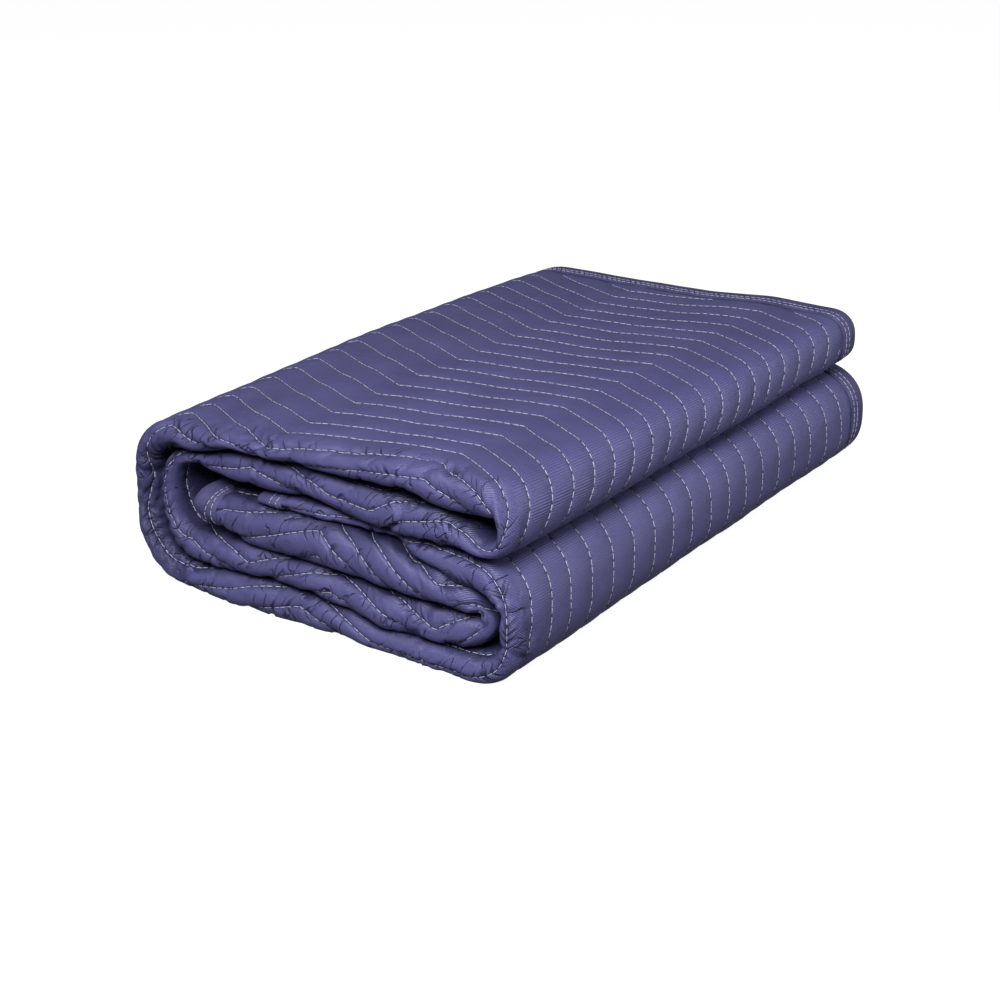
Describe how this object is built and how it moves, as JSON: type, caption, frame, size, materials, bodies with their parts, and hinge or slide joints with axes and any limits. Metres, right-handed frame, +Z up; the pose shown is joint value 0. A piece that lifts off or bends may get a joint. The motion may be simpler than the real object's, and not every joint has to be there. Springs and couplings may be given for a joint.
{
  "type": "folded moving blanket",
  "caption": "Padded quilted moving blanket with zigzag stitching and bound edges, folded into a flat rectangular bundle.",
  "frame": {"origin": "middle of the underside, on the surface the bundle rests on", "axes": "+Y runs from the folded ridges at the front back to the bound edges, +X runs from the wrapped spine at the left to the two rounded folds at the right, +Z is up"},
  "size_m": [0.3329, 0.501, 0.1392],
  "materials": {
    "quilt_cloth": "fine ribbed weave, soft satin sheen",
    "binding_tape": "plain woven, matte"
  },
  "bodies": {
    "root": {"quilt": "quilt_cloth", "binding_outer_ply": "binding_tape", "binding_inner_ply": "binding_tape", "binding_end_upper": "binding_tape", "binding_end_lower": "binding_tape"}
  },
  "joints": []
}
